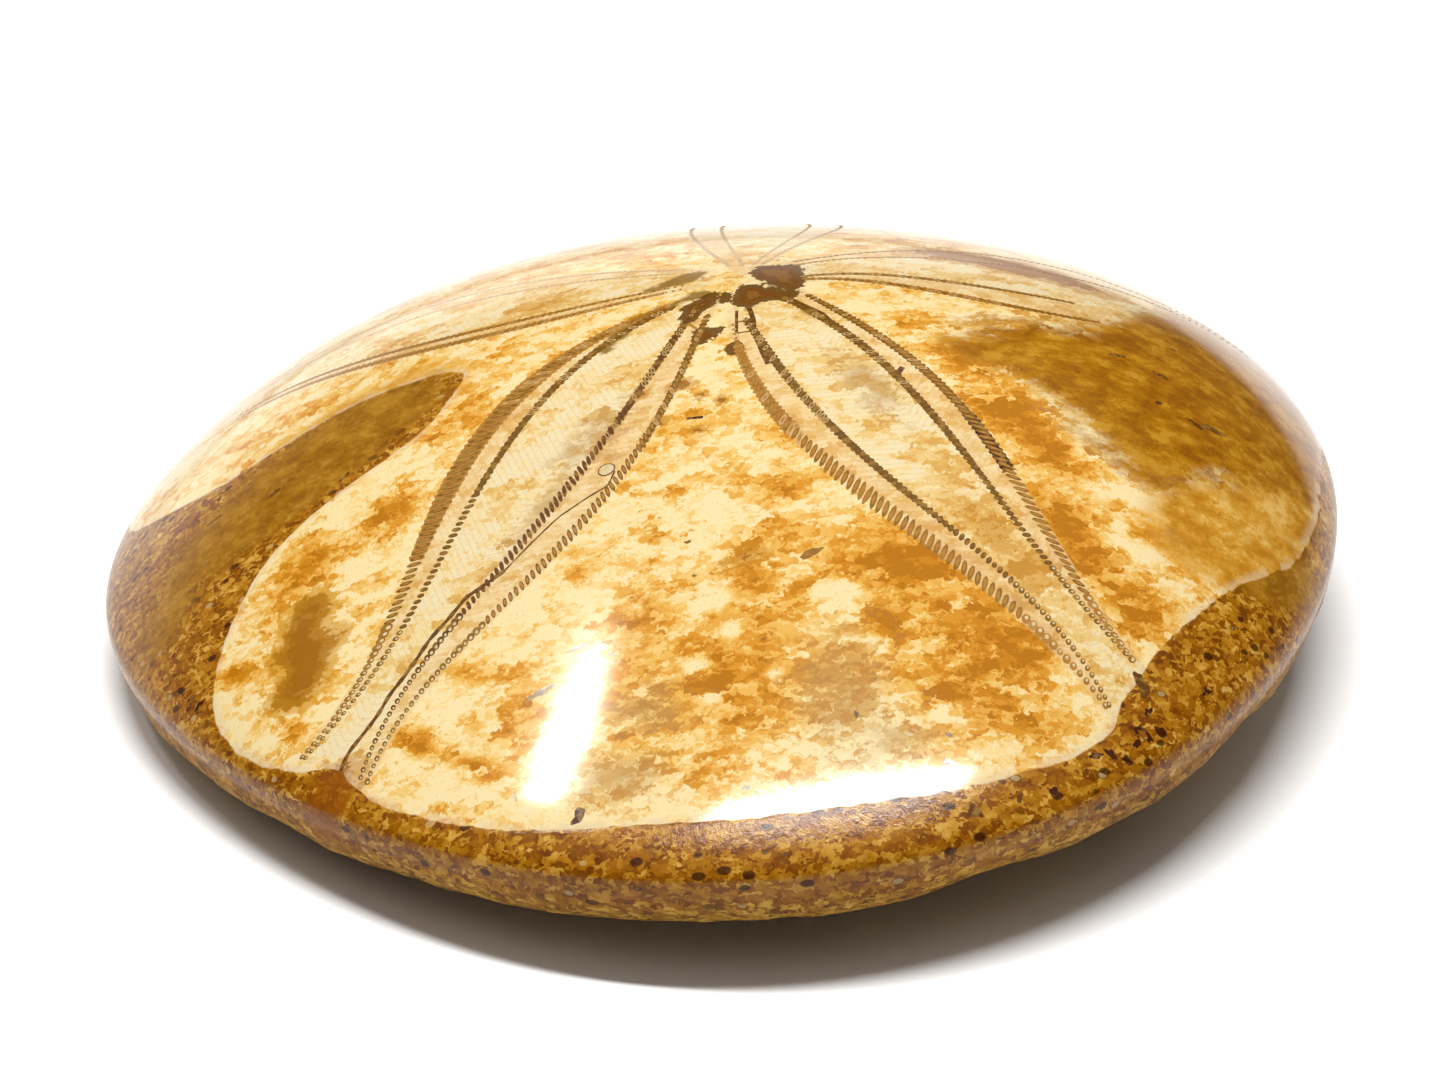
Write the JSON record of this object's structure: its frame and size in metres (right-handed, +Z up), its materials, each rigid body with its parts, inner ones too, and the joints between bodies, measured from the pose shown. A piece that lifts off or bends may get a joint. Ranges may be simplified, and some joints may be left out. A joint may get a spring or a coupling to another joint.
{
  "type": "fossil sea urchin",
  "caption": "Polished fossil sea urchin: a low domed disc with a petal star on top and a grooved, cushioned underside it rests on.",
  "frame": {"origin": "centre of the outline, on the plane the fossil rests on", "axes": "+Z up through the dome, +Y towards the end that pointed forwards in the living animal"},
  "size_m": [0.0814, 0.0885, 0.0236],
  "materials": {
    "polished_stone": "polished calcite and golden brown matrix on top, rough on the flank and the underside"
  },
  "bodies": {
    "root": {"fossil_urchin": "polished_stone"}
  },
  "joints": []
}
